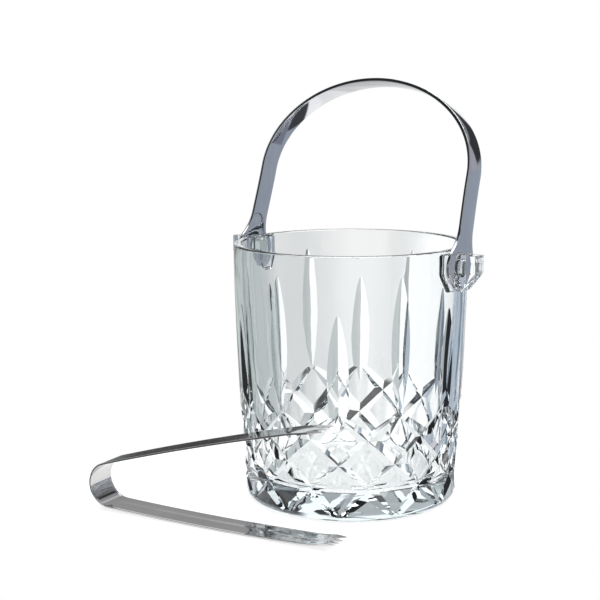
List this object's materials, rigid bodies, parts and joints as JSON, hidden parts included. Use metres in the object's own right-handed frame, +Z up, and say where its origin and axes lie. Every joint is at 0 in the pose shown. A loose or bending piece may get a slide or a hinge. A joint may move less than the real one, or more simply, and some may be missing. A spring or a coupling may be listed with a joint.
{
  "type": "ice bucket",
  "caption": "Cut-glass ice bucket with a swinging polished steel strap handle, and its sprung steel ice tongs standing beside it.",
  "frame": {"origin": "centre of the bucket's flat foot, on the surface it stands on", "axes": "+Z up; +X along the line through the two lugs that carry the handle; -Y towards the tongs"},
  "size_m": [0.1784, 0.1751, 0.2292],
  "materials": {
    "clear_glass": "clear, fire-polished and cut",
    "handle_steel": "mirror polished stainless steel",
    "tongs_steel": "polished stainless steel with a fine lengthwise grain"
  },
  "bodies": {
    "bucket": {"glass_bucket": "clear_glass"},
    "handle": {"bail_handle": "handle_steel"},
    "tongs": {"tongs_bow": "tongs_steel"},
    "tongs_upper": {"tongs_upper_arm": "tongs_steel"},
    "tongs_lower": {"tongs_lower_arm": "tongs_steel"}
  },
  "joints": [
    {"name": "handle_swing", "type": "hinge", "parent": "bucket", "child": "handle", "pos_m": [0, 0, 0.1325], "axis": [1, 0, 0], "range_deg": [-118, 152]},
    {"name": "tongs_lift", "type": "slide", "parent": "bucket", "child": "tongs", "axis": [0, 0, 1], "range_m": [0, 0.25]},
    {"name": "upper_arm_squeeze", "type": "hinge", "parent": "tongs", "child": "tongs_upper", "pos_m": [-0.08642, -0.10065, 0.02567], "axis": [-0.1547, 0.988, 0], "range_deg": [0, 11.7], "stiffness_Nm_per_rad": 2.3},
    {"name": "lower_arm_squeeze", "type": "hinge", "parent": "tongs", "child": "tongs_lower", "pos_m": [-0.08336, -0.10017, 0.00182], "axis": [-0.1547, 0.988, 0], "range_deg": [-11.7, 0], "stiffness_Nm_per_rad": 2.3}
  ],
  "couplings": [
    {"joint": "lower_arm_squeeze", "follows": "upper_arm_squeeze", "ratio": -1}
  ]
}
